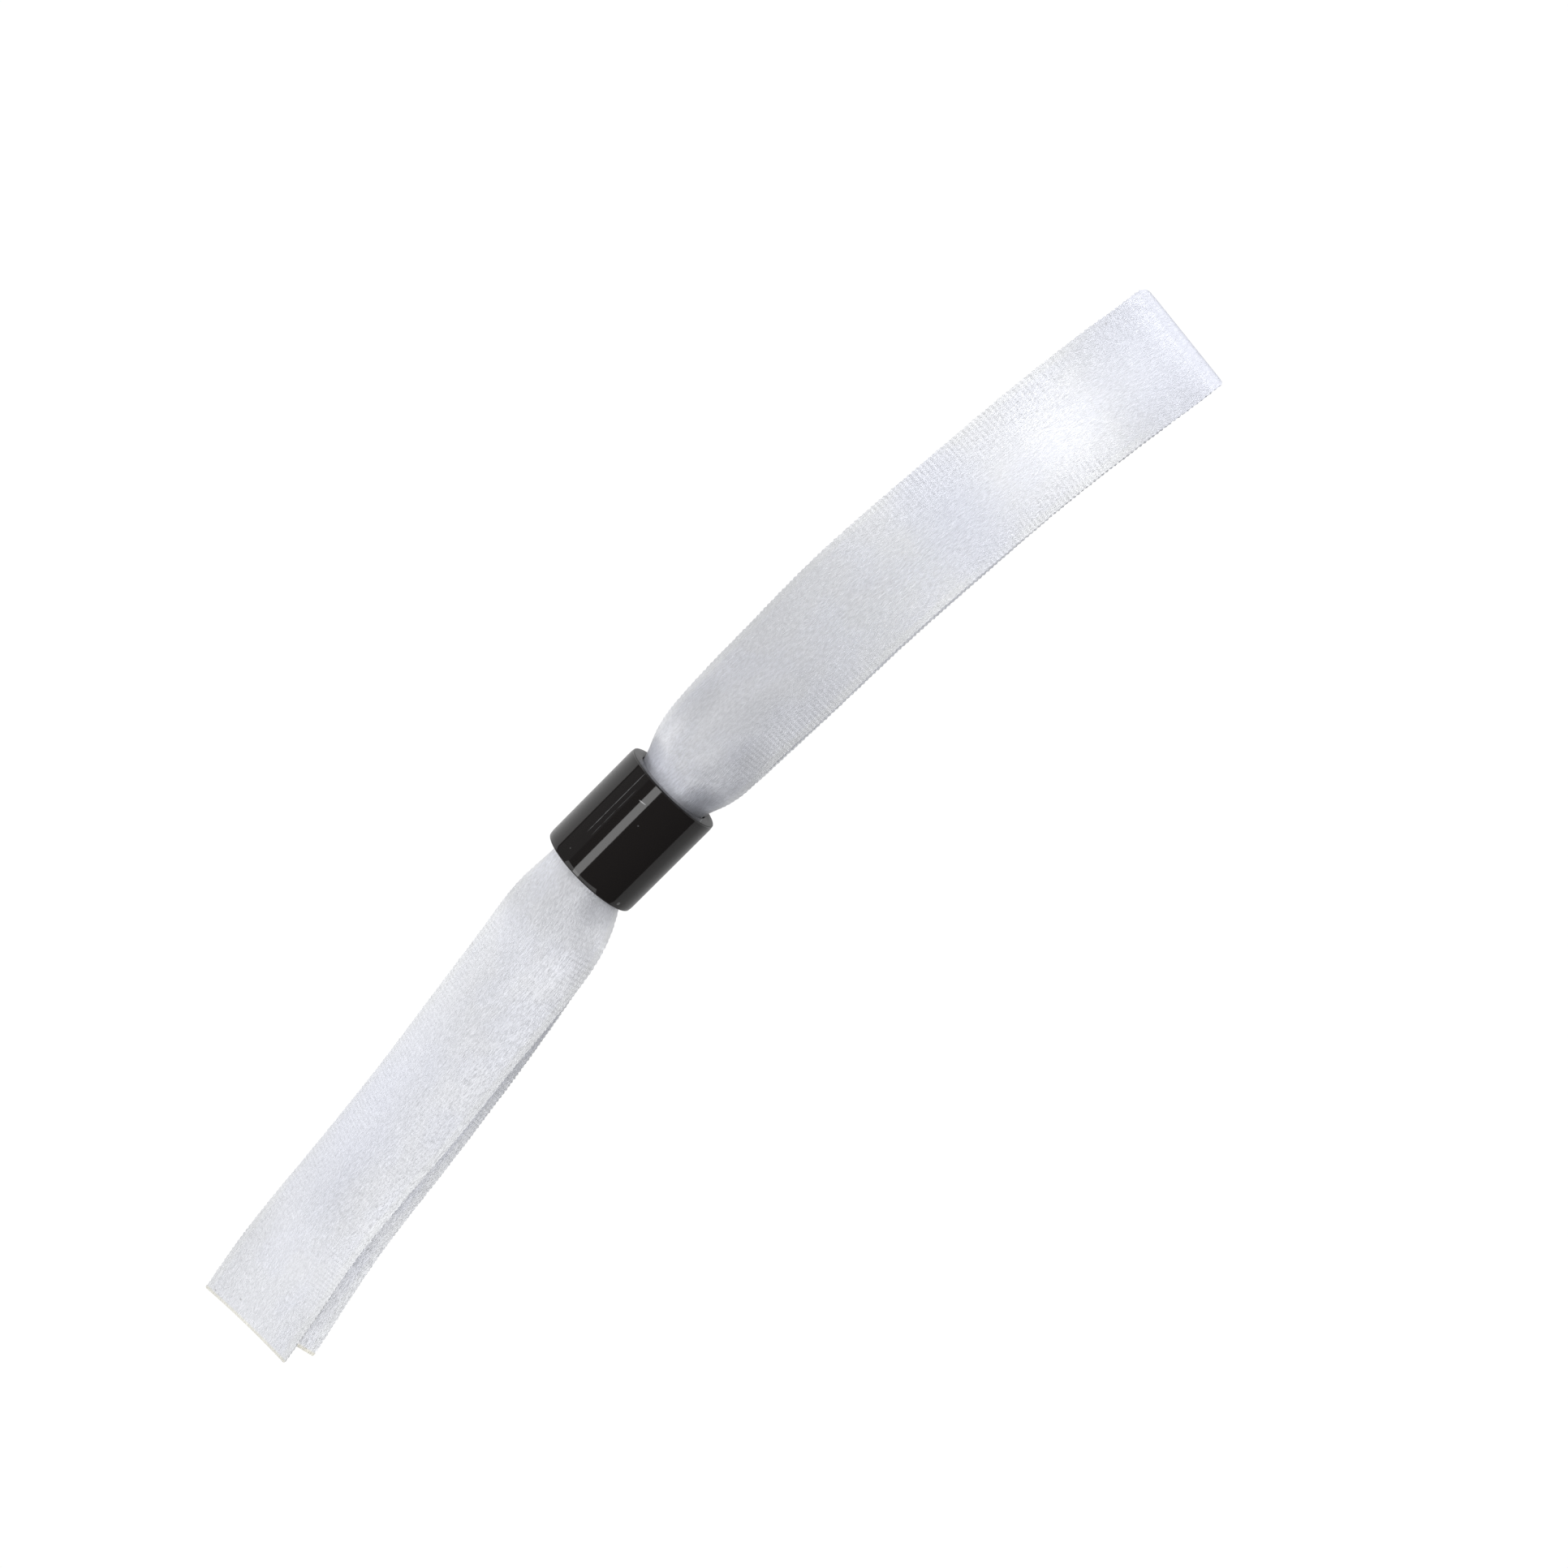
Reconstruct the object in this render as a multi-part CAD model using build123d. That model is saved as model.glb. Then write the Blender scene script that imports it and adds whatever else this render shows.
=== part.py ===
"""Locking wristband: a satin ribbon folded in half, its two layers run through a round closure.

The closure's axis lies along X. The loop for the wrist is on the +X side and the two cut
tails are on the -X side. +Z is up, and the band lies on the plane z = 0. Lengths are in
millimetres and angles in degrees. The origin is the bottom centre of the whole band's box.
"""
from build123d import *
import os
from collections import namedtuple
from math import cos, isclose, radians, sin

# The ribbon
ribbon_width = 15.0
ribbon_wall = 1.0
loop_reach = 87.9  # from the closure's middle to where the fold's bend starts
fold_radius = 1.5  # of the middle of the wall
fold_sway = 4.6  # how far the fold lies to the side of the closure's axis
fold_turn = 5.5  # between the fold's square and the closure's axis
tail_reach = 84.4  # from the closure's middle to the upper tail's end
short_tail_reach = 82.5  # the same for the lower tail

# The closure
closure_diameter = 13.8
closure_length = 15.2
bore_diameter = 10.6
outer_edge_radius = 0.8
bore_edge_radius = 0.3

# The ribbon inside the closure
bore_clearance = 0.2
layer_half_angle = 86.0  # each layer lies against its half of the bore
straight_past_closure = 0.4
opened_half_angle = 40.0  # a section that bends through less has opened out of the closure
meeting_tolerance = 0.001  # end faces whose middles are this near are the same

closure_axis_height = closure_diameter / 2
layer_radius = bore_diameter / 2 - bore_clearance - ribbon_wall / 2
straight_half = closure_length / 2 + straight_past_closure
lying_height = ribbon_wall / 2

# The sections of each run, from the closure outwards.
# along   share of the run's stretch past the closure
# side    share of the ribbon's width, off the closure's axis
# height  of the wall's middle: 0 lying on the surface, 1 as high as where the layer leaves the bore
# roll    how far the right edge (-Y) is lifted, in degrees
# arc     half of the angle that the width bends through, above 0 where its middle stands proud
Section = namedtuple("Section", "along side height roll arc")

upper_tail = [
    Section(0.044, -0.060, 0.99, 0, 60),
    Section(0.094, -0.115, 0.97, 1, 43),
    Section(0.194, -0.175, 0.88, 5, 34),
    Section(0.337, -0.245, 0.76, 10, 32),
    Section(0.492, -0.315, 0.61, 14, 31),
    Section(0.646, -0.375, 0.47, 16, 29),
    Section(0.779, -0.455, 0.40, 14, 20),
    Section(0.901, -0.575, 0.25, 11, 2),
    Section(1.000, -0.650, 0.15, 8, -14),
]
lower_tail = [
    Section(0.048, -0.050, 0.83, 0, -62),
    Section(0.114, -0.100, 0.50, 0, -42),
    Section(0.225, -0.180, 0.19, 0, -24),
    Section(0.358, -0.265, 0.06, 0, -10),
    Section(0.557, -0.405, 0.00, 0, 0),
    Section(0.779, -0.565, 0.00, 0, 0),
    Section(1.000, -0.795, 0.00, 0, 0),
]
upper_loop = [
    Section(0.026, 0.000, 1.01, 0, 66),
    Section(0.070, 0.000, 1.02, 0, 46),
    Section(0.142, 0.000, 1.03, 0, 36),
    Section(0.252, 0.000, 0.98, 0, 27),
    Section(0.395, 0.000, 0.87, 0, 19),
    Section(0.560, -0.050, 0.73, 0, 15),
    Section(0.725, -0.125, 0.56, 0, 12),
    Section(0.868, -0.215, 0.39, 0, 8),
]
lower_loop = [
    Section(0.026, 0.000, 0.80, 0, -64),
    Section(0.070, 0.000, 0.50, 0, -44),
    Section(0.142, 0.000, 0.23, 0, -30),
    Section(0.252, 0.000, 0.08, 0, -18),
    Section(0.395, 0.000, 0.02, 0, -10),
    Section(0.560, -0.050, 0.01, 0, -6),
    Section(0.725, -0.125, 0.01, 0, -4),
    Section(0.868, -0.215, 0.01, 0, -2),
]

Station = namedtuple("Station", "middle heading roll arc width")


def level_across(heading):
    """The level direction across the ribbon, towards its left edge (+Y where it heads for +X)."""
    return Vector(0, 0, 1).cross(heading).normalized()


def wall_face(station):
    """The wall's cut at one station: an arc or a line on each side and a short line at each edge."""
    half = radians(station.arc)
    tilt_axis = Axis((0, 0, 0), station.heading)
    across = level_across(station.heading).rotate(tilt_axis, -station.roll)

    def at(share, offset):
        if station.arc == 0:
            return (share * station.width / 2, offset)
        radius = station.width / 2 / half
        return ((radius + offset) * sin(share * half), (radius + offset) * cos(share * half) - radius)

    def side(start, end, offset):
        if station.arc == 0:
            return Line(at(start, offset), at(end, offset))
        return ThreePointArc(at(start, offset), at(0, offset), at(end, offset))

    plane = Plane(origin=station.middle, x_dir=across, z_dir=station.heading)
    top = side(1, -1, ribbon_wall / 2)
    bottom = side(-1, 1, -ribbon_wall / 2)
    return plane * make_face([top, Line(top @ 1, bottom @ 0), bottom, Line(bottom @ 1, top @ 0)])


def exit_height(layer):
    """The height at which the upper (1) or lower (-1) layer leaves the bore."""
    return closure_axis_height + layer * layer_radius


def exit_station(layer, way):
    """Where a layer leaves the closure; way is 1 towards +X."""
    middle = Vector(way * straight_half, 0, exit_height(layer))
    width = 2 * layer_radius * radians(layer_half_angle)
    return Station(middle, Vector(1, 0, 0), 0, layer * layer_half_angle, width)


def stations(sections, reach, layer, way, fold_point=None):
    """The stations of a run from the closure out to its cut end or to the fold."""
    made = [exit_station(layer, way)]
    rise = exit_height(layer) - lying_height
    points = [made[0].middle]
    for s in sections:
        along = straight_half + s.along * (reach - straight_half)
        points.append(Vector(way * along, s.side * ribbon_width, lying_height + s.height * rise))
    if fold_point:
        points.append(fold_point)
    for i, s in enumerate(sections, start=1):
        before = points[i] - points[i - 1]
        if s is sections[-1] and not fold_point:
            heading = before
        else:
            after = points[i + 1] - points[i]
            heading = before.normalized() * after.length + after.normalized() * before.length
        if s.height == 0:
            heading = Vector(heading.X, heading.Y, 0)
        made.append(Station(points[i], (heading * way).normalized(), s.roll, s.arc, ribbon_width))
    if fold_point:
        made.append(Station(fold_point, fold_heading, 0, 0, ribbon_width))
    return made


def run(stops):
    """The two lofts of a run: the stretch that opens out of the closure, and the rest."""
    faces = [wall_face(stop) for stop in stops]
    opened = next(i for i, stop in enumerate(stops) if abs(stop.arc) < opened_half_angle)
    return [loft(faces[: opened + 1]), loft(faces[opened:])]


def lying_stretch(stops):
    """A stretch that lies flat on the surface: a level plate along its stations."""
    left, right = (
        [stop.middle + level_across(stop.heading) * (side * stop.width / 2) for stop in stops]
        for side in (1, -1)
    )
    ends = (stops[0].heading * -1, stops[-1].heading * -1)
    left_edge, right_edge = Spline(*left, tangents=ends), Spline(*right, tangents=ends)
    outline = make_face(
        [left_edge, Line(left_edge @ 1, right_edge @ 1), right_edge, Line(right_edge @ 0, left_edge @ 0)]
    )
    return extrude(Pos(0, 0, -ribbon_wall / 2) * outline, ribbon_wall, dir=(0, 0, 1))


def straight_in_closure(layer):
    """The stretch of one layer that lies in the bore."""
    return extrude(wall_face(exit_station(layer, -1)), 2 * straight_half)


fold_heading = Vector(cos(radians(fold_turn)), -sin(radians(fold_turn)), 0)
fold_low = Vector(loop_reach, -fold_sway, lying_height)
fold_high = fold_low + Vector(0, 0, 2 * fold_radius)


def fold():
    """The half turn that joins the two layers of the loop."""
    centre = (fold_low + fold_high) / 2
    across = Vector(0, 0, 1).cross(fold_heading)
    plane = Plane(origin=centre - across * (ribbon_width / 2), x_dir=fold_heading, z_dir=across)
    outer, inner = fold_radius + ribbon_wall / 2, fold_radius - ribbon_wall / 2
    ring = Circle(outer) - Circle(inner)
    half = ring & Pos(outer, 0) * Rectangle(2 * outer, 4 * outer)
    return extrude(plane * half, ribbon_width)


def joined(pieces):
    """One solid from pieces that meet end to end: their outsides are sewn, without the ends that two share."""
    faces = [face for piece in pieces for face in piece.faces()]
    middles = [face.center() for face in faces]
    outside = [
        face
        for face, middle in zip(faces, middles)
        if sum((middle - other).length < meeting_tolerance for other in middles) == 1
    ]
    return Solid(Shell(outside))


def ribbon():
    """The whole ribbon: two tails, two layers through the closure, the loop and its fold."""
    low_stops = stations(lower_tail, short_tail_reach, -1, -1)
    flat = next(i for i, stop in enumerate(low_stops) if stop.arc == 0)
    return joined([
        *run(stations(upper_tail, tail_reach, 1, -1)),
        *run(low_stops[: flat + 1]),
        lying_stretch(low_stops[flat:]),
        *run(stations(upper_loop, loop_reach, 1, 1, fold_high)),
        *run(stations(lower_loop, loop_reach, -1, 1, fold_low)),
        straight_in_closure(1),
        straight_in_closure(-1),
        fold(),
    ])


def closure():
    """The round closure: a tube with its outer and bore edges rounded."""
    plane = Plane(origin=(-closure_length / 2, 0, closure_axis_height), z_dir=(1, 0, 0))
    tube = extrude(plane * (Circle(closure_diameter / 2) - Circle(bore_diameter / 2)), closure_length)
    for diameter, edge_radius in (
        (closure_diameter, outer_edge_radius),
        (bore_diameter, bore_edge_radius),
    ):
        rims = [e for e in tube.edges().filter_by(GeomType.CIRCLE) if isclose(2 * e.radius, diameter)]
        tube = fillet(rims, edge_radius)
    return tube


parts = {"ribbon": ribbon(), "closure": closure()}
box = parts["ribbon"].bounding_box().add(parts["closure"].bounding_box())
home = Vector(box.center().X, box.center().Y, box.min.Z)

os.makedirs("parts", exist_ok=True)
for name, shape in parts.items():
    export_step(Pos(-home) * shape, f"parts/{name}.step")
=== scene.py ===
"""Locking wristband: a folded satin ribbon in a glossy black closure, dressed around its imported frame.

The frame's +X runs from the two cut tails through the closure to the loop's fold, +Y is to the
left of that way and +Z is up. The band lies on the plane z = 0. Lengths are in metres and
angles in degrees, unless a name says otherwise.
"""
import math
import random
from collections import namedtuple

import bmesh
import bpy
from mathutils import Matrix, Vector


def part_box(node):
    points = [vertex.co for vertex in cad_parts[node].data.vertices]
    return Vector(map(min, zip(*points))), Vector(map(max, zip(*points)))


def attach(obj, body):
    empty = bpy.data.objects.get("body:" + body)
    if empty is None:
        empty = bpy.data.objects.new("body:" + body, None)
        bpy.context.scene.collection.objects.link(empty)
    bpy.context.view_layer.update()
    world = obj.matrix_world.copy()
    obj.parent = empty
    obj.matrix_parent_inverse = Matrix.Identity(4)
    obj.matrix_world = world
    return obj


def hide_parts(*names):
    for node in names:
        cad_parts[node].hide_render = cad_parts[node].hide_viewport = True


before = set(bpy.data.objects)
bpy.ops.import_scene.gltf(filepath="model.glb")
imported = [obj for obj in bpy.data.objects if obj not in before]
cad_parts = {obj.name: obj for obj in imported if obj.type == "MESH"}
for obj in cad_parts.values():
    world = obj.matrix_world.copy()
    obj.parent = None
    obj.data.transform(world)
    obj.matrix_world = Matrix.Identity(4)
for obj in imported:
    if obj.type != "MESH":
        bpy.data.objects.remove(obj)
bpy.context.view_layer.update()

bl_info = {
    "name": "Locking Wristband",
    "version": (1, 0, 0),
    "blender": (4, 5, 0),
    "location": "View3D > Sidebar > Wristband",
    "description": "Makes a satin locking wristband, its closure and a plain studio stage",
    "category": "Object",
}

MM = 0.001
closure_low, closure_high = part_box("closure")
closure_middle = (closure_low + closure_high) / 2

# The sections of each run of the ribbon, from the closure outwards.
# along   share of the run's stretch past the closure
# side    share of the ribbon's width, off the closure's axis
# height  of the ribbon's middle: 0 lying on the floor, 1 as high as where the layer leaves the bore
# roll    how far the right edge (-Y) is lifted
# arc     half of the angle that the width bends through, above 0 where its middle stands proud
Section = namedtuple("Section", "along side height roll arc")

upper_tail = [
    Section(0.045, -0.055, 0.99, 0, 59),
    Section(0.095, -0.115, 0.97, 1, 39),
    Section(0.195, -0.175, 0.88, 5, 34),
    Section(0.335, -0.235, 0.76, 10, 35),
    Section(0.490, -0.315, 0.61, 14, 33),
    Section(0.645, -0.375, 0.47, 17, 32),
    Section(0.780, -0.450, 0.40, 18, 24),
    Section(0.900, -0.565, 0.29, 14, 6),
    Section(1.000, -0.660, 0.22, 14, -5),
]
lower_tail = [
    Section(0.050, -0.050, 0.83, 0, -62),
    Section(0.115, -0.100, 0.50, 0, -42),
    Section(0.225, -0.180, 0.19, 0, -26),
    Section(0.360, -0.275, 0.08, 0, -9),
    Section(0.555, -0.410, 0.22, 0, 4),
    Section(0.780, -0.560, 0.51, 0, 11),
    Section(1.000, -0.785, 0.46, 0, 10),
]
upper_loop = [
    Section(0.025, 0.000, 1.01, 0, 67),
    Section(0.070, 0.000, 1.02, 0, 45),
    Section(0.140, 0.015, 1.03, 0, 39),
    Section(0.250, 0.005, 1.01, 0, 28),
    Section(0.395, 0.000, 0.91, 0, 18),
    Section(0.560, -0.050, 0.75, 0, 19),
    Section(0.645, -0.085, 0.66, 0, 19),
    Section(0.725, -0.120, 0.56, 0, 16),
    Section(0.845, -0.190, 0.39, 0, 8),
    Section(0.895, -0.225, 0.34, 0, 5),
    Section(0.945, -0.270, 0.29, 0, 2),
]
lower_loop = [
    Section(0.025, -0.005, 0.80, 0, -64),
    Section(0.070, 0.010, 0.50, 0, -44),
    Section(0.140, 0.020, 0.23, 0, -30),
    Section(0.250, 0.015, 0.08, 0, -18),
    Section(0.395, 0.000, 0.02, 0, -10),
    Section(0.560, -0.050, 0.01, 0, -6),
    Section(0.725, -0.115, 0.01, 0, -4),
    Section(0.870, -0.210, 0.01, 0, -2),
]

# The ribbon's mesh: squares along and across it, and how far its course is smoothed out.
ribbon_rows = 1100
ribbon_columns = 36
smoothing_passes = 24
crisp_before_fold = 1.0 * MM  # the course isn't smoothed from this far before the fold's bend
bore_stops = (-1, -0.4, 0.4, 1)  # shares of the way from the closure's middle to past its ends
fold_angles = (90, 45, 0, -45, -90)  # round the fold's bend, from its top to its bottom
straight_past_closure = 0.4 * MM
bore_clearance = 0.1 * MM
floor_clearance = 0.05 * MM
fold_corner_radii = {1: 1.8 * MM, -1: 0.8 * MM}  # at the left (+Y) and right edges
closure_along = 85.0 * MM  # from the upper tail's end to the closure's middle
crest_along = 175.9 * MM  # and to the fold's crest
selvage_width = 0.7 * MM
selvage_roughness = 0.09 * MM
picot_depth, picot_chance = 0.7, 0.3  # shares of the selvage's roughness, in turn and at random
least_bend = 1e-4  # a row that bends through less, in radians, is laid straight

# Specks on the satin: where each one is along and across it, its radius, and how much it hides.
Speck = namedtuple("Speck", "along across radius depth")
specks = [
    Speck(60.6 * MM, 14.80 * MM, 0.13 * MM, 0.30),
    Speck(55.8 * MM, 10.80 * MM, 0.09 * MM, 0.25),
    Speck(2.2 * MM, 10.00 * MM, 0.10 * MM, 0.40),
    Speck(0.7 * MM, 13.70 * MM, 0.10 * MM, 0.35),
    Speck(23.0 * MM, 12.50 * MM, 0.12 * MM, 0.20),
    Speck(168.7 * MM, 14.20 * MM, 0.10 * MM, 0.30),
]

# Soft patches on the satin: the middle of each one along and across the ribbon, how far it fades
# out to each way, and its depth there. The grey ones are painted shade over the satin's gathers
# and creases, and the bluish ones are a painted bluish tint of the light.
Patch = namedtuple("Patch", "along across reach spread depth")
# Painted shade: grey patches over the gathers and creases.
painted_shade_patches = [
    Patch(93.8 * MM, 2.8 * MM, 3.5 * MM, 3.8 * MM, 0.60),
    Patch(95.3 * MM, 6.0 * MM, 4.0 * MM, 2.5 * MM, 0.24),
    Patch(98.0 * MM, 2.8 * MM, 8.0 * MM, 4.0 * MM, 0.34),
    Patch(104.0 * MM, 5.5 * MM, 8.0 * MM, 4.0 * MM, 0.16),
    Patch(94.2 * MM, 13.0 * MM, 2.5 * MM, 3.0 * MM, 0.50),
    Patch(98.0 * MM, 14.0 * MM, 6.0 * MM, 1.4 * MM, 0.15),
    Patch(103.5 * MM, 12.5 * MM, 4.0 * MM, 2.5 * MM, 0.14),
    Patch(71.0 * MM, 6.0 * MM, 8.0 * MM, 3.5 * MM, 0.13),
    Patch(75.0 * MM, 3.3 * MM, 3.0 * MM, 3.2 * MM, 0.30),
    Patch(38.0 * MM, 1.8 * MM, 15.0 * MM, 3.0 * MM, 0.12),
    Patch(55.0 * MM, 4.2 * MM, 12.0 * MM, 2.8 * MM, 0.11),
    Patch(110.0 * MM, 3.5 * MM, 10.0 * MM, 4.5 * MM, 0.10),
    Patch(171.0 * MM, 7.5 * MM, 9.0 * MM, 30.0 * MM, 0.05),
    Patch(178.0 * MM, 7.5 * MM, 5.0 * MM, 30.0 * MM, 0.13),
]
# Painted light: patches of the bluish tint that the light gives these stretches.
painted_cool_light_patches = [
    Patch(175.0 * MM, 7.5 * MM, 13.0 * MM, 30.0 * MM, 1.0),
    Patch(141.0 * MM, 8.0 * MM, 6.5 * MM, 12.0 * MM, 0.9),
    Patch(93.3 * MM, 10.5 * MM, 3.0 * MM, 6.0 * MM, 0.9),
    Patch(33.0 * MM, 10.5 * MM, 22.0 * MM, 6.5 * MM, 0.6),
]

# Noise in the finishes: how many features it has in a metre along and across, and its detail.
Noise = namedtuple("Noise", "along across detail")
thread_noise = Noise(700, 14000, 1.0)
grain_noise = Noise(1500, 4200, 1.0)
cloud_noise = Noise(130, 200, 2.0)
wear_noise = Noise(900, 2500, 2.0)
sway_noise = Noise(300, 0, 1.0)

# The satin's other shades (its gather grey is painted shade), the height of its threads, and how far its
# gathers and its crease reach.
shaded_share = 0.82  # of the satin's brightness, between its threads
# Painted shade: the grey that the gathers and creases are painted with.
painted_gather_shade = (0.17, 0.18, 0.22)
speck_brown = (0.18, 0.16, 0.14)
upper_cut_colour = (0.84, 0.82, 0.73)
lower_cut_colour = (0.80, 0.77, 0.66)
thread_relief = 0.036 * MM
# Painted shade: this near the closure the grain is painted deeper, as the shade in the satin's gathers.
gather_shade_reach = 9.0 * MM  # to each side of the closure's middle, and as far again to fade
pressed_reach = 0.7 * MM  # to each side of the fold's crest

# Marks on the closure, from its middle along it and round it from its top, towards +Y.
Hairline = namedtuple("Hairline", "along side half_length strength")
hairlines = [
    Hairline(2.35 * MM, 3.5 * MM, 4.25 * MM, 0.45),
    Hairline(1.3 * MM, 2.75 * MM, 3.1 * MM, 0.16),
]
Spot = namedtuple("Spot", "along side radius tone")
closure_spots = [
    Spot(2.4 * MM, -0.6 * MM, 0.06 * MM, 0.09),
    Spot(-6.8 * MM, -6.4 * MM, 0.20 * MM, 0.12),
    Spot(-5.75 * MM, 3.55 * MM, 0.06 * MM, 0.08),
]
nick_along, nick_side = 4.8 * MM, 1.05 * MM
nick_lean = (0.98, 0.17)  # the cosine and sine of how far the nick is askew
scratch_grey = (0.30, 0.30, 0.31)
nick_grey = (0.34, 0.34, 0.35)

# The closure's mesh: a shoulder at each end drops a little towards the rim, and its rims are rounded.
closure_sides = 192
shoulder_length = 0.45 * MM
shoulder_drop = 0.1 * MM
shoulder_bevel = (0.35 * MM, 6)  # a bevel's width and its segments
rim_bevel = (0.15 * MM, 4)
bore_bevel = (0.12 * MM, 4)
rim_tolerance = 0.01 * MM

# A studio light: the piece that it is for, where its middle is and what it faces, from the
# closure's middle, then its size in its own X and Y, and its brightness, where 1 is a white card's.
Light = namedtuple("Light", "name piece place aim size brightness")
studio_lights = [
    Light("key_strip", "round_closure", (-0.25, 0.269, 0.90), (-0.25, 0.269, 0.0), (1.2, 0.29), 3.6),
    Light("loop_softbox", "round_closure", (0.50, 0.1, 0.90), (0.04, 0.1, 0.0), (0.56, 2.0), 1.8),
    Light("tail_softbox", "round_closure", (-0.80, 0.1, 0.82), (-0.05, 0.1, 0.0), (0.80, 2.0), 1.2),
    Light("side_card", "round_closure", (0.0, 1.2, 0.55), (0.0, 0.0, 0.0), (2.4, 1.0), 0.14),
    Light("tail_panel", "satin_ribbon", (-0.58, -0.5, 0.9), (-0.58, -0.5, 0.0), (0.63, 1.0), 1.15),
    Light("loop_panel_left", "satin_ribbon", (0.61, 0.5, 0.9), (0.61, 0.5, 0.0), (0.30, 1.0), 2.0),
    Light("loop_panel_right", "satin_ribbon", (0.61, -0.5, 0.9), (0.61, -0.5, 0.0), (0.30, 1.0), 2.4),
    Light("loop_flank_left", "satin_ribbon", (0.35, 1.15, 0.9), (0.35, 1.15, 0.0), (0.7, 0.4), 0.8),
    Light("loop_flank_right", "satin_ribbon", (0.35, -1.15, 0.9), (0.35, -1.15, 0.0), (0.7, 0.4), 1.3),
    Light("far_loop_panel", "satin_ribbon", (1.02, 0.5, 0.9), (1.02, 0.5, 0.0), (0.53, 1.0), 0.5),
    Light("end_card", "satin_ribbon", (1.2, 0.0, 0.45), (0.0, 0.0, 0.0), (1.0, 2.4), 0.3),
    Light("front_card", "satin_ribbon", (-1.2, 0.0, 0.45), (0.0, 0.0, 0.0), (1.0, 2.4), 0.7),
    Light("loop_card_left", "satin_ribbon", (0.8, 1.2, 0.5), (0.8, 0.0, 0.0), (1.4, 1.0), 0.5),
    Light("loop_card_right", "satin_ribbon", (0.8, -1.2, 0.5), (0.8, 0.0, 0.0), (1.4, 1.0), 0.4),
    Light("tail_card_left", "satin_ribbon", (-0.975, 1.2, 0.5), (-0.975, 0.0, 0.0), (1.25, 1.0), 0.68),
    Light("overhead_fill", "satin_ribbon", (0.0, 0.0, 1.3), (0.0, 0.0, 0.0), (3.0, 3.0), 1.38),
]
unmirrored_lights = {"overhead_fill"}

# The floor: half its size, how bright the camera sees it, and its tones to everything else, the right one a
# painted shadow.
floor_half_size = 3.0
floor_glow = 1.02
# Painted shadow: the floor's right (-Y) tone is the lower one.
right_floor_painted_shadow, left_floor_tone = 0.36, 0.72
sensor_width = 36.0  # in millimetres
white = (1.0, 1.0, 1.0, 1.0)


class RibbonSettings(bpy.types.PropertyGroup):
    width: bpy.props.FloatProperty(
        name="Width", description="Width of the satin ribbon", default=15.0 * MM, unit="LENGTH"
    )
    length: bpy.props.FloatProperty(
        name="Length", description="Length that the ribbon was cut to", default=350.0 * MM, unit="LENGTH"
    )
    thickness: bpy.props.FloatProperty(
        name="Thickness", description="Thickness of the satin", default=0.3 * MM, unit="LENGTH"
    )
    loop_reach: bpy.props.FloatProperty(
        name="Loop reach", description="From the closure's middle to where the fold bends",
        default=89.4 * MM, unit="LENGTH",
    )
    fold_radius: bpy.props.FloatProperty(
        name="Fold radius", description="Radius of the bend at the loop's far end",
        default=0.6 * MM, unit="LENGTH",
    )
    fold_lift: bpy.props.FloatProperty(
        name="Fold lift", description="How far the fold springs up from the floor",
        default=1.4 * MM, unit="LENGTH",
    )
    fold_sway: bpy.props.FloatProperty(
        name="Fold sway", description="How far the fold lies to the side of the closure's axis",
        default=4.6 * MM, unit="LENGTH",
    )
    fold_turn: bpy.props.FloatProperty(
        name="Fold turn", description="How far the fold is turned from square to the closure's axis",
        default=math.radians(6), subtype="ANGLE",
    )
    tail_reach: bpy.props.FloatProperty(
        name="Tail reach", description="From the closure's middle to the upper tail's end",
        default=84.4 * MM, unit="LENGTH",
    )
    short_tail_reach: bpy.props.FloatProperty(
        name="Short tail reach", description="From the closure's middle to the lower tail's end",
        default=83.5 * MM, unit="LENGTH",
    )
    colour: bpy.props.FloatVectorProperty(
        name="Satin", description="Colour of the satin", subtype="COLOR", size=3, min=0, max=1,
        default=(0.85, 0.86, 0.90),
    )


class ClosureSettings(bpy.types.PropertyGroup):
    diameter: bpy.props.FloatProperty(
        name="Diameter", description="Outer diameter of the closure",
        default=closure_high.z - closure_low.z, unit="LENGTH",
    )
    length: bpy.props.FloatProperty(
        name="Length", description="Length of the closure",
        default=closure_high.x - closure_low.x, unit="LENGTH",
    )
    bore: bpy.props.FloatProperty(
        name="Bore", description="Diameter of the hole for the ribbon", default=10.6 * MM, unit="LENGTH"
    )
    colour: bpy.props.FloatVectorProperty(
        name="Plastic", description="Colour of the moulded plastic", subtype="COLOR", size=3,
        min=0, max=1, default=(0.0122, 0.0106, 0.0102),
    )


class StageSettings(bpy.types.PropertyGroup):
    camera_place: bpy.props.FloatVectorProperty(
        name="Camera place", description="The camera's place from the closure's middle",
        subtype="TRANSLATION", default=(64.5 * MM, -15.3 * MM, 292.6 * MM),
    )
    camera_aim: bpy.props.FloatVectorProperty(
        name="Camera aim", description="What the camera looks at, from the closure's middle",
        subtype="TRANSLATION", default=(17.7 * MM, -9.3 * MM, 0.0),
    )
    lens: bpy.props.FloatProperty(
        name="Lens", description="Focal length in millimetres, on a square sensor 36 mm across", default=55.3
    )
    surroundings: bpy.props.FloatProperty(
        name="Surroundings", description="Brightness of the room around the lights", default=0.06
    )


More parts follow.
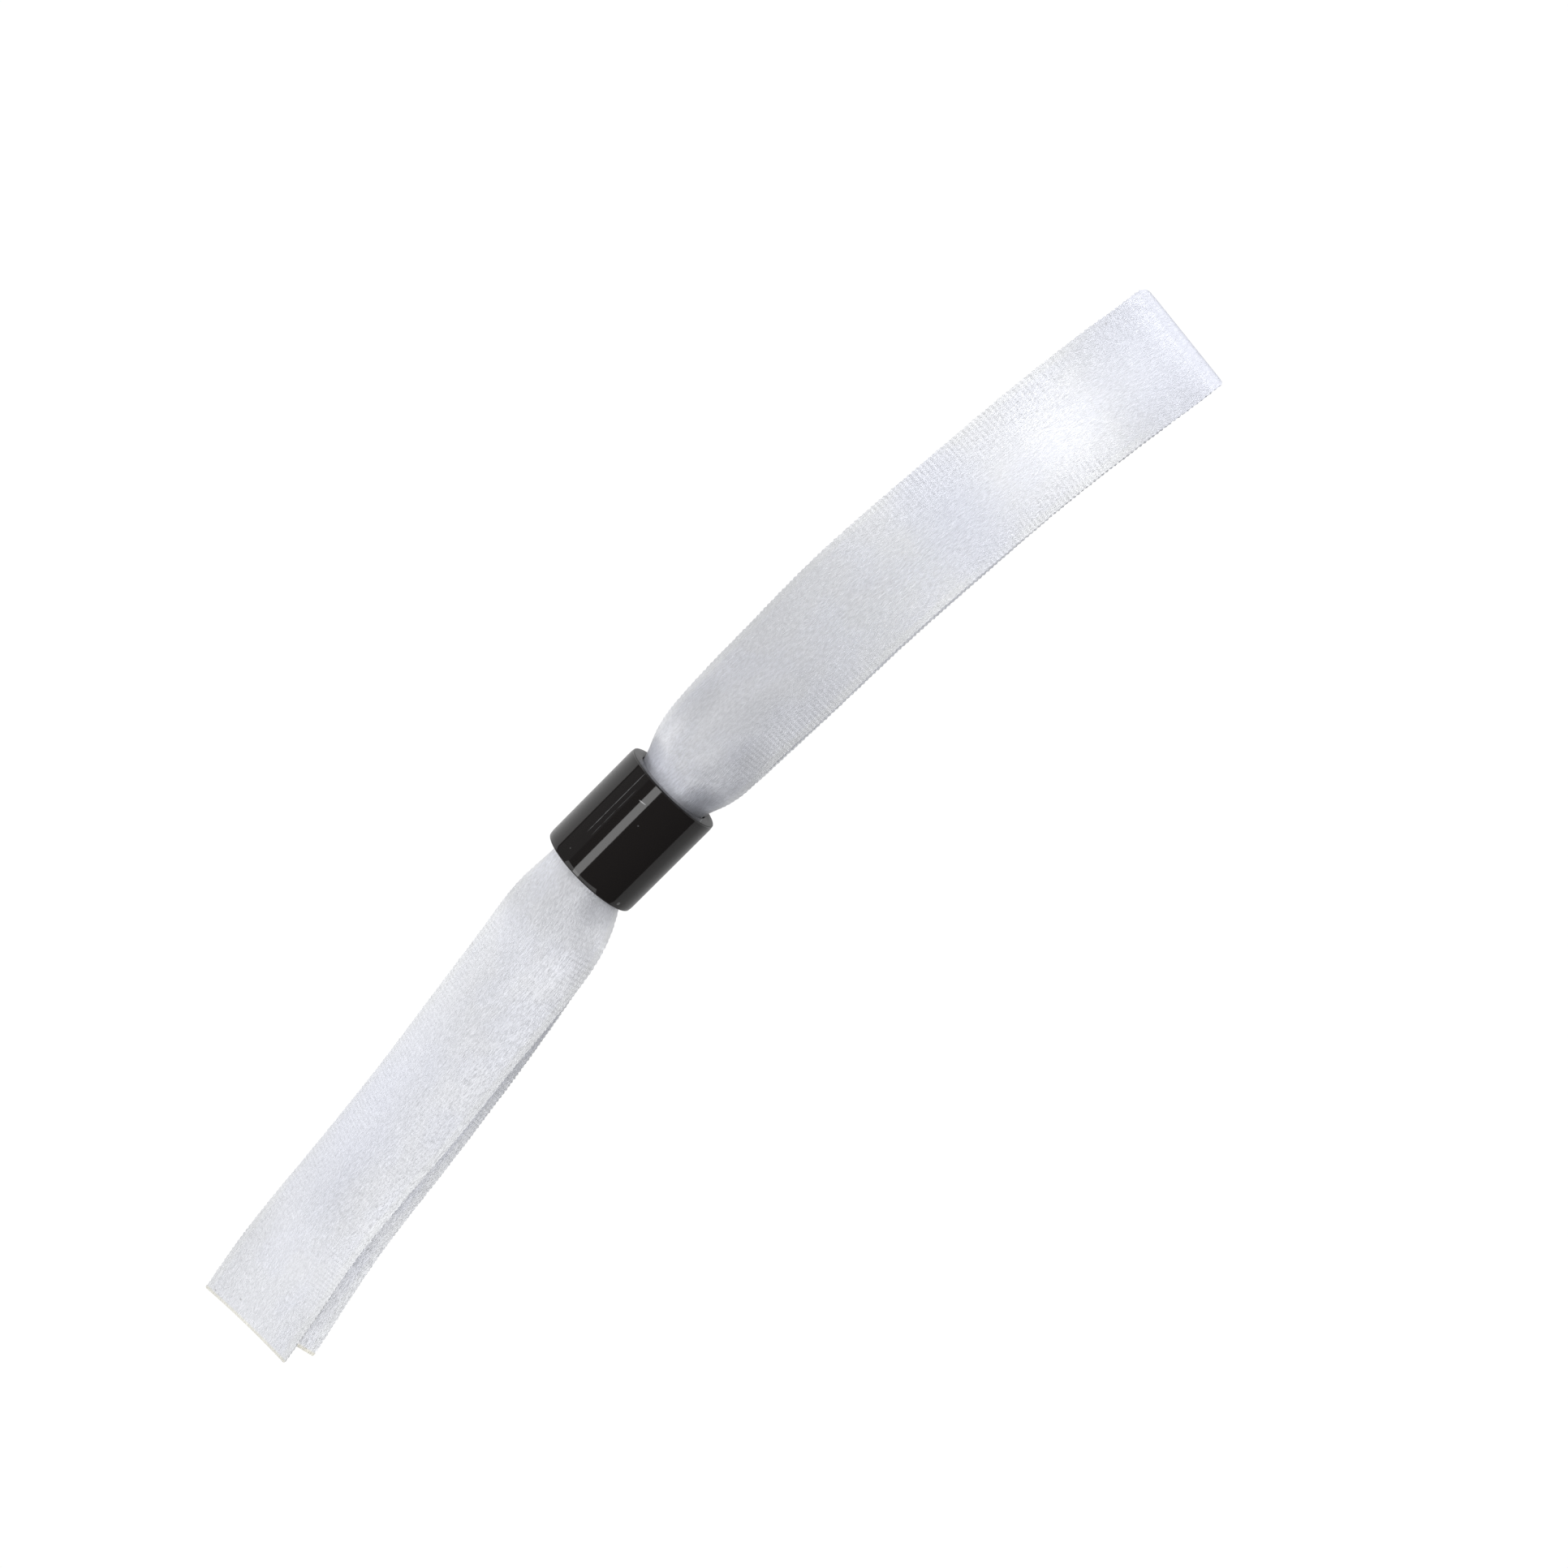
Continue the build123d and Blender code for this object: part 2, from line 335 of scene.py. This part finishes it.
class Socket:
    """One output of a node. An expression on sockets and numbers adds its Math nodes."""

    def __init__(self, finish, socket):
        self.finish, self.socket = finish, socket

    def maths(self, operation, *values, clamp=False):
        settings = {"operation": operation, "use_clamp": clamp}
        return self.finish.node("ShaderNodeMath", settings, dict(enumerate(values)))

    def __add__(self, other):
        return self.maths("ADD", self, other)

    __radd__ = __add__

    def __sub__(self, other):
        return self.maths("SUBTRACT", self, other)

    def __rsub__(self, other):
        return self.maths("SUBTRACT", other, self)

    def __mul__(self, other):
        return self.maths("MULTIPLY", self, other)

    def __truediv__(self, other):
        return self.maths("DIVIDE", self, other)

    def __abs__(self):
        return self.maths("ABSOLUTE", self)

    def under(self, edge, soft):
        """1 where the value is under edge, and 0 from soft past it."""
        return self.maths("SUBTRACT", (edge + soft) / soft, self / soft, clamp=True)

    def over(self, edge, soft):
        """1 where the value is over edge, and 0 from soft before it."""
        return self.maths("SUBTRACT", self / soft, (edge - soft) / soft, clamp=True)


class Finish:
    """One material and the nodes that make it."""

    def __init__(self, name):
        self.material = bpy.data.materials.new(name)
        self.material.use_nodes = True
        self.tree = self.material.node_tree
        self.tree.nodes.clear()

    def node(self, kind, settings=None, inputs=None, output=0):
        """Adds a node with its settings, then its sockets' values or links, and gives one output."""
        made = self.tree.nodes.new(kind)
        for name, value in (settings or {}).items():
            setattr(made, name, value)
        for name, value in (inputs or {}).items():
            if isinstance(value, Socket):
                self.tree.links.new(value.socket, made.inputs[name])
            else:
                made.inputs[name].default_value = value
        return Socket(self, made.outputs[output]) if len(made.outputs) else None

    def mixed(self, share, first, second):
        """The colour first where share is 0, and second where it is 1."""
        colours = [c if isinstance(c, Socket) else (*c, 1.0) for c in (first, second)]
        return self.node(
            "ShaderNodeMix", {"data_type": "RGBA"}, {0: share, 6: colours[0], 7: colours[1]}, output=2
        )

    def noise(self, along, across, kind):
        """Noise from 0 to 1 where along and across are."""
        place = self.joined(along * kind.along, across * kind.across)
        inputs = {"Vector": place, "Scale": 1.0, "Detail": kind.detail}
        return self.node("ShaderNodeTexNoise", {"noise_dimensions": "2D"}, inputs)

    def axes(self, vector):
        split = self.node("ShaderNodeSeparateXYZ", None, {0: vector})
        return [Socket(self, s) for s in split.socket.node.outputs]

    def joined(self, x, y, z=0.0):
        return self.node("ShaderNodeCombineXYZ", None, {0: x, 1: y, 2: z})

    def distance(self, vector, point):
        return self.node("ShaderNodeVectorMath", {"operation": "DISTANCE"}, {0: vector, 1: point}, output=1)

    def patch(self, along, across, each):
        """The depth of one patch where along and across are."""
        place = self.joined(along / each.reach, across / each.spread)
        away = self.distance(place, (each.along / each.reach, each.across / each.spread, 0.0))
        return (away * away).under(0.0, 1.0) * each.depth

    def ended(self, shader):
        self.node("ShaderNodeOutputMaterial", None, {"Surface": shader})
        return self.material


def satin_finish(settings):
    """White satin: fine threads along it, grey patches of painted shade, bluish patches of painted light,
    grain painted deeper near the closure as the gathers' shade, a plain selvage, specks and cut ends.
    """
    f = Finish("satin")
    uv = f.node("ShaderNodeTexCoord", output="UV")
    along, across, _ = f.axes(uv)
    threads = f.noise(along, across, thread_noise)
    grain = f.noise(along, across, grain_noise)
    clouds = f.noise(along, across, cloud_noise)
    gather_shade_share = abs(along - closure_along).under(gather_shade_reach, gather_shade_reach)
    pressed = abs(along - crest_along).under(pressed_reach, 1.3 * MM)
    half_width = settings.width / 2
    selvage = abs(across - half_width).over(half_width - selvage_width, 0.4 * MM)
    bright = tuple(settings.colour)
    # A bluish tone, both for random clouds of tone and for the painted bluish light.
    blue_tone_and_cool_light = (bright[0] * 0.97, bright[1] * 0.98, min(1.0, bright[2] * 1.035))
    grey = (bright[0] * 0.985, bright[1] * 0.985, bright[2] * 0.955)
    shaded_bright, grain_darkened_cool_light = (tuple(shaded_share * part for part in tone) for tone in (bright, blue_tone_and_cool_light))
    # Grain, painted deeper near the closure as the shade in the satin's gathers.
    grain_and_gather_shade = grain.under(0.3, 0.4) * (gather_shade_share * 0.3 + 0.55)
    colour = f.mixed(clouds.over(0.62, 0.2) * 0.4, bright, blue_tone_and_cool_light)
    colour = f.mixed(grain_and_gather_shade, colour, shaded_bright)
    # Painted bluish light, grained like the rest of the satin.
    painted_cool_light = f.mixed(grain_and_gather_shade, blue_tone_and_cool_light, grain_darkened_cool_light)
    colour = f.mixed(selvage * 0.6, colour, grey)
    for each in painted_cool_light_patches:
        colour = f.mixed(f.patch(along, across, each), colour, painted_cool_light)
    # Painted shade over the gathers and creases.
    for each in painted_shade_patches:
        colour = f.mixed(f.patch(along, across, each), colour, painted_gather_shade)
    for speck in specks:
        away = f.distance(uv, (speck.along, speck.across, 0.0))
        colour = f.mixed(away.under(speck.radius, 0.08 * MM) * speck.depth, colour, speck_brown)
    lower_cut = along.over(settings.length - 0.35 * MM, 0.3 * MM)
    colour = f.mixed(along.under(0.25 * MM, 0.3 * MM) * 0.8, colour, upper_cut_colour)
    colour = f.mixed(lower_cut * 0.8, colour, lower_cut_colour)
    normal = f.node("ShaderNodeBump", None, {"Strength": 1.0, "Distance": thread_relief, "Height": threads})
    roughness = 0.27 + grain * 0.06 + pressed * 0.3
    shader = f.node("ShaderNodeBsdfPrincipled", None, {
        "Base Color": colour, "Metallic": 0.6 - pressed * 0.5, "Roughness": roughness, "IOR": 1.5,
        "Normal": normal,
    })
    return f.ended(shader)


def plastic_finish(settings):
    """Glossy black moulded plastic with two hairline scratches, a nick and a few light spots."""
    f = Finish("black_plastic")
    place = f.node("ShaderNodeTexCoord", output="Object")
    x, y, z = f.axes(place)
    x, y, z = x - closure_middle.x, y - closure_middle.y, z - closure_middle.z
    round_it = y.maths("ARCTAN2", y, z) * (settings.diameter / 2)
    worn = f.noise(x, round_it, wear_noise)
    sway = (f.noise(x, round_it, sway_noise) - 0.5) * (0.12 * MM)
    scratches = 0.0
    for scratch in hairlines:
        line = abs(round_it - scratch.side + sway).under(0.015 * MM, 0.05 * MM)
        line = line * abs(x - scratch.along).under(scratch.half_length, 1.0 * MM) * worn.over(0.47, 0.2)
        scratches = line * scratch.strength + scratches
    # The nick runs across the key light's strip, a little askew.
    beside = round_it - nick_side
    lean = (x - nick_along) * nick_lean[0] + beside * nick_lean[1]
    nick = abs(lean).under(0.03 * MM, 0.05 * MM) * abs(beside).under(0.3 * MM, 0.25 * MM)
    black = tuple(settings.colour)
    colour = f.mixed(scratches, black, scratch_grey)
    colour = f.mixed(nick, colour, nick_grey)
    for spot in closure_spots:
        away = f.distance(f.joined(x, round_it), (spot.along, spot.side, 0.0))
        colour = f.mixed(away.under(spot.radius, 0.06 * MM), colour, (spot.tone,) * 3)
    shader = f.node("ShaderNodeBsdfPrincipled", None, {
        "Base Color": colour, "Roughness": 0.06 + scratches * 0.2, "IOR": 1.5,
    })
    return f.ended(shader)


def floor_finish():
    """A pale floor that the camera sees plain white, with a painted shadow on its right that the closure
    mirrors.
    """
    f = Finish("pale_floor")
    seen = f.node("ShaderNodeLightPath", output="Is Camera Ray")
    _, across, _ = f.axes(f.node("ShaderNodeTexCoord", output="Object"))
    # Painted shadow on the floor's right, for everything but the camera.
    shade = f.mixed(across.over(0.02, 0.04), (right_floor_painted_shadow,) * 3, (left_floor_tone,) * 3)
    card = f.node("ShaderNodeBsdfDiffuse", None, {"Color": shade})
    glow = f.node("ShaderNodeEmission", None, {"Color": white, "Strength": floor_glow})
    return f.ended(f.node("ShaderNodeMixShader", None, {0: seen, 1: card, 2: glow}))


Stop = namedtuple("Stop", "x y z yaw turn bend")


def run_stops(sections, reach, layer, way, width, past, leaving, lying):
    """The stops of one run, from the closure outwards; layer is 1 above and -1 below, way 1 towards +X."""
    points = [Vector((way * past, 0.0, leaving))]
    for s in sections:
        along = past + s.along * (reach - past)
        points.append(Vector((way * along, s.side * width, lying + s.height * (leaving - lying))))
    stops = []
    for i, s in enumerate(sections, start=1):
        before = points[i] - points[i - 1]
        after = points[i + 1] - points[i] if i + 1 < len(points) else before
        heading = (before.normalized() * after.length + after.normalized() * before.length) * way
        yaw = math.atan2(heading.y, heading.x)
        stops.append(Stop(*points[i], yaw, -layer * math.radians(s.roll), layer * math.radians(s.arc)))
    return stops


def ribbon_course(ribbon, closure):
    """Every stop from the upper tail's end through the closure, round the fold and back again."""
    layer_radius = closure.bore / 2 - bore_clearance - ribbon.thickness / 2
    past = closure.length / 2 + straight_past_closure
    lying = ribbon.thickness / 2 + floor_clearance
    bend = ribbon.width / 2 / layer_radius
    course = {}
    for layer in (1, -1):
        leaving = closure_middle.z + layer * layer_radius
        tail = (upper_tail, ribbon.tail_reach) if layer == 1 else (lower_tail, ribbon.short_tail_reach)
        loop = (upper_loop if layer == 1 else lower_loop, ribbon.loop_reach)
        course[layer] = [
            *reversed(run_stops(*tail, layer, -1, ribbon.width, past, leaving, lying)),
            *(Stop(share * past, 0.0, leaving, 0.0, 0.0, bend) for share in bore_stops),
            *run_stops(*loop, layer, 1, ribbon.width, past, leaving, lying),
        ]
    fold = []
    for angle in fold_angles:
        out = ribbon.fold_radius * math.cos(math.radians(angle))
        up = ribbon.fold_radius * (1 + math.sin(math.radians(angle)))
        fold.append(Stop(
            ribbon.loop_reach + out * math.cos(ribbon.fold_turn),
            -ribbon.fold_sway - out * math.sin(ribbon.fold_turn),
            lying + ribbon.fold_lift + up,
            -ribbon.fold_turn, 0.0, 0.0,
        ))
    return [*course[1], *fold, *reversed(course[-1])]


def distances(places):
    """How far along its course each place is."""
    along = [0.0]
    for a, b in zip(places, places[1:]):
        along.append(along[-1] + math.dist(a[:3], b[:3]))
    return along


def even_rows(stops, count):
    """Rows at even distances on a curve through the stops."""
    at = distances(stops)
    gaps = [b - a for a, b in zip(at, at[1:])]
    rates = [[(q - p) / gap for p, q in zip(a, b)] for a, b, gap in zip(stops, stops[1:], gaps)]
    slopes = [rates[0]]
    for i in range(1, len(gaps)):
        h, k = gaps[i - 1], gaps[i]
        slopes.append([(p * k + q * h) / (h + k) for p, q in zip(rates[i - 1], rates[i])])
    slopes.append(rates[-1])
    rows, i = [], 0
    for step in range(count + 1):
        distance = at[-1] * step / count
        while i < len(gaps) - 1 and distance > at[i + 1]:
            i += 1
        t, h = (distance - at[i]) / gaps[i], gaps[i]
        shares = (2 * t**3 - 3 * t**2 + 1, (t**3 - 2 * t**2 + t) * h, 3 * t**2 - 2 * t**3, (t**3 - t**2) * h)
        rows.append([
            sum(share * value for share, value in zip(shares, values))
            for values in zip(stops[i], slopes[i], stops[i + 1], slopes[i + 1])
        ])
    return rows


def smoothed(rows, crisp_past):
    """The rows as stops, each one drawn towards its neighbours, apart from those with x past crisp_past."""
    for _ in range(smoothing_passes):
        rows = [rows[0], *(
            b if b[0] > crisp_past else [(p + 2 * q + r) / 4 for p, q, r in zip(a, b, c)]
            for a, b, c in zip(rows, rows[1:], rows[2:])
        ), rows[-1]]
    return [Stop(*row) for row in rows]


def across_row(rows, i, half_widths):
    """The points across the ribbon at one row, from the right edge to the left one."""
    row = rows[i]
    before, after = rows[max(i - 1, 0)], rows[min(i + 1, len(rows) - 1)]
    tangent = (Vector(after[:3]) - Vector(before[:3])).normalized()
    out = tangent.cross(Vector((-math.sin(row.yaw), math.cos(row.yaw), 0.0))).normalized()
    left = out.cross(tangent)
    left, out = (
        left * math.cos(row.turn) + out * math.sin(row.turn),
        out * math.cos(row.turn) - left * math.sin(row.turn),
    )
    points = []
    for column in range(ribbon_columns + 1):
        share = 2 * column / ribbon_columns - 1
        offset = share * half_widths[1 if share > 0 else -1]
        if abs(row.bend) < least_bend:
            points.append(Vector(row[:3]) + left * offset)
            continue
        radius = half_widths[0] / row.bend
        points.append(
            Vector(row[:3]) + left * (radius * math.sin(offset / radius))
            + out * (radius * (math.cos(offset / radius) - 1))
        )
    return points


def ribbon_mesh(ribbon, closure):
    """The whole ribbon as one grid, laid along its course, with its length and width as its UV map."""
    stops = ribbon_course(ribbon, closure)
    rows = smoothed(even_rows(stops, ribbon_rows), ribbon.loop_reach - crisp_before_fold)
    along = distances(rows)
    lowest = min(stop.z for stop in stops)
    rows = [row._replace(z=max(row.z, lowest)) for row in rows]
    crest = max(range(len(rows)), key=lambda i: rows[i].x)
    chance = random.Random(7)
    grid = bmesh.new()
    uv = grid.loops.layers.uv.new("UVMap")
    bmesh.ops.create_grid(grid, x_segments=ribbon_rows, y_segments=ribbon_columns, size=0.5)
    cells = {
        v: (round((v.co.x + 0.5) * ribbon_rows), round((v.co.y + 0.5) * ribbon_columns)) for v in grid.verts
    }
    lines = []
    for i in range(ribbon_rows + 1):
        halves = {0: ribbon.width / 2}
        for side, radius in fold_corner_radii.items():
            near = max(0.0, 1 - abs(along[i] - along[crest]) / radius)
            pulled = radius * (1 - math.sqrt(1 - near**2))
            picot = (picot_depth if i % 2 else -picot_depth) + chance.uniform(-picot_chance, picot_chance)
            halves[side] = ribbon.width / 2 - pulled + selvage_roughness * picot
        lines.append(across_row(rows, i, halves))
    for vert, (i, column) in cells.items():
        vert.co = lines[i][column]
    scale = ribbon.length / along[-1]
    for face in grid.faces:
        face.smooth = True
        for loop in face.loops:
            i, column = cells[loop.vert]
            loop[uv].uv = (along[i] * scale, ribbon.width * column / ribbon_columns)
    for edge in grid.edges:
        edge.smooth = not edge.is_boundary
    return finished_mesh(grid, "satin_ribbon")


def finished_mesh(made, name):
    mesh = bpy.data.meshes.new(name)
    made.to_mesh(mesh)
    made.free()
    return mesh


def shown(name, mesh, material):
    """A new object of the mesh, at the origin, in its material."""
    piece = bpy.data.objects.new(name, mesh)
    bpy.context.scene.collection.objects.link(piece)
    mesh.materials.append(material)
    return piece


def turned_to(place, aim, up):
    """How a camera or a light at place is turned to face aim, with up as its own +Y."""
    back = (Vector(place) - Vector(aim)).normalized()
    right = Vector(up).cross(back).normalized()
    return Matrix((right, back.cross(right), back)).transposed().to_euler()


class WRISTBAND_OT_ribbon(bpy.types.Operator):
    """Make the satin ribbon, folded in half with both layers through the closure"""

    bl_idname = "wristband.ribbon"
    bl_label = "Satin Ribbon"

    def execute(self, context):
        ribbon = context.scene.wristband_ribbon
        mesh = ribbon_mesh(ribbon, context.scene.wristband_closure)
        piece = shown("satin_ribbon", mesh, satin_finish(ribbon))
        for vert in piece.data.vertices:
            vert.co += Vector((closure_middle.x, closure_middle.y, 0.0))
        solid = piece.modifiers.new("thickness", "SOLIDIFY")
        solid.thickness, solid.offset = ribbon.thickness, 0.0
        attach(piece, "root")
        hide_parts("ribbon")
        return {"FINISHED"}


class WRISTBAND_OT_closure(bpy.types.Operator):
    """Make the round closure of black plastic"""

    bl_idname = "wristband.closure"
    bl_label = "Closure"

    def execute(self, context):
        closure = context.scene.wristband_closure
        half, radius, bore = closure.length / 2, closure.diameter / 2, closure.bore / 2
        rim, shoulder = radius - shoulder_drop, half - shoulder_length
        tube = bmesh.new()
        profile = [(-half, bore), (-half, rim), (-shoulder, radius),
                   (shoulder, radius), (half, rim), (half, bore)]
        verts = [tube.verts.new((x, 0.0, z)) for x, z in profile]
        edges = [tube.edges.new(pair) for pair in zip(verts, verts[1:] + verts[:1])]
        bmesh.ops.spin(
            tube, geom=verts + edges, cent=(0, 0, 0), axis=(1, 0, 0), dvec=(0, 0, 0),
            angle=math.tau, steps=closure_sides, use_merge=True,
        )
        bmesh.ops.remove_doubles(tube, verts=tube.verts, dist=0.001 * MM)
        bmesh.ops.recalc_face_normals(tube, faces=tube.faces)
        for level, (width, segments) in ((radius, shoulder_bevel), (rim, rim_bevel), (bore, bore_bevel)):
            rims = [
                e for e in tube.edges
                if all(abs(math.hypot(v.co.y, v.co.z) - level) < rim_tolerance for v in e.verts)
                and abs(e.verts[0].co.x - e.verts[1].co.x) < rim_tolerance
            ]
            bmesh.ops.bevel(
                tube, geom=rims, offset=width, segments=segments, profile=0.5, affect="EDGES", material=-1
            )
        for face in tube.faces:
            face.smooth = True
        bmesh.ops.translate(tube, verts=tube.verts, vec=closure_middle)
        piece = shown("round_closure", finished_mesh(tube, "round_closure"), plastic_finish(closure))
        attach(piece, "root")
        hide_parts("closure")
        return {"FINISHED"}


def hang_light(light, receivers):
    """One studio light, which lights only its receivers and stays out of the camera's sight."""
    lamp = bpy.data.lights.new(light.name, "AREA")
    lamp.shape = "RECTANGLE"
    lamp.size, lamp.size_y = light.size
    lamp.energy = light.brightness * math.pi * light.size[0] * light.size[1]
    holder = bpy.data.objects.new(light.name, lamp)
    bpy.context.scene.collection.objects.link(holder)
    holder.location = closure_middle + Vector(light.place)
    holder.rotation_euler = turned_to(light.place, light.aim, (0.0, 1.0, 0.0))
    holder.visible_camera = False
    holder.light_linking.receiver_collection = receivers
    holder.visible_glossy = light.name not in unmirrored_lights


def studio_world(surroundings):
    """A world that the camera sees white and everything else as dim as the surroundings."""
    world = bpy.data.worlds.new("studio")
    world.use_nodes = True
    nodes, links = world.node_tree.nodes, world.node_tree.links
    background = nodes["Background"]
    background.inputs["Color"].default_value = white
    seen, strength = nodes.new("ShaderNodeLightPath"), nodes.new("ShaderNodeMapRange")
    strength.inputs["To Min"].default_value = surroundings
    links.new(seen.outputs["Is Camera Ray"], strength.inputs["Value"])
    links.new(strength.outputs["Result"], background.inputs["Strength"])
    return world


def studio_camera(stage):
    """The camera that sees the band as the photograph does."""
    camera = bpy.data.objects.new("camera", bpy.data.cameras.new("camera"))
    bpy.context.scene.collection.objects.link(camera)
    camera.data.lens, camera.data.sensor_width = stage.lens, sensor_width
    camera.data.clip_start, camera.data.clip_end = 0.01, 20.0
    camera.location = closure_middle + Vector(stage.camera_place)
    camera.rotation_euler = turned_to(stage.camera_place, stage.camera_aim, (1.0, 1.0, 0.0))
    return camera


class WRISTBAND_OT_stage(bpy.types.Operator):
    """Make the pale floor, the studio lights and the camera"""

    bl_idname = "wristband.stage"
    bl_label = "Studio Stage"

    def execute(self, context):
        scene, stage = context.scene, context.scene.wristband_stage
        scene.view_settings.view_transform = "Standard"
        ground = bmesh.new()
        bmesh.ops.create_grid(ground, x_segments=1, y_segments=1, size=floor_half_size)
        shown("floor", finished_mesh(ground, "floor"), floor_finish())
        lit = {}
        for name in ("round_closure", "satin_ribbon"):
            lit[name] = bpy.data.collections.new(f"lit_with_{name}")
            lit[name].objects.link(bpy.data.objects[name])
        lit["satin_ribbon"].objects.link(bpy.data.objects["floor"])
        for light in studio_lights:
            hang_light(light, lit[light.piece])
        scene.world = studio_world(stage.surroundings)
        scene.camera = studio_camera(stage)
        return {"FINISHED"}


class WRISTBAND_PT_panel(bpy.types.Panel):
    """The pieces of the wristband and their sizes"""

    bl_idname = "WRISTBAND_PT_panel"
    bl_label = "Wristband"
    bl_space_type = "VIEW_3D"
    bl_region_type = "UI"
    bl_category = "Wristband"

    def draw(self, context):
        for operator, settings in (
            (WRISTBAND_OT_ribbon, context.scene.wristband_ribbon),
            (WRISTBAND_OT_closure, context.scene.wristband_closure),
            (WRISTBAND_OT_stage, context.scene.wristband_stage),
        ):
            box = self.layout.box()
            for name in settings.__annotations__:
                box.prop(settings, name)
            box.operator(operator.bl_idname)


classes = (
    RibbonSettings,
    ClosureSettings,
    StageSettings,
    WRISTBAND_OT_ribbon,
    WRISTBAND_OT_closure,
    WRISTBAND_OT_stage,
    WRISTBAND_PT_panel,
)


def register():
    for each in classes:
        bpy.utils.register_class(each)
    bpy.types.Scene.wristband_ribbon = bpy.props.PointerProperty(type=RibbonSettings)
    bpy.types.Scene.wristband_closure = bpy.props.PointerProperty(type=ClosureSettings)
    bpy.types.Scene.wristband_stage = bpy.props.PointerProperty(type=StageSettings)


def unregister():
    del bpy.types.Scene.wristband_stage
    del bpy.types.Scene.wristband_closure
    del bpy.types.Scene.wristband_ribbon
    for each in reversed(classes):
        bpy.utils.unregister_class(each)


def main():
    register()
    bpy.ops.wristband.closure()
    bpy.ops.wristband.ribbon()
    bpy.ops.wristband.stage()


if __name__ == "__main__":
    main()
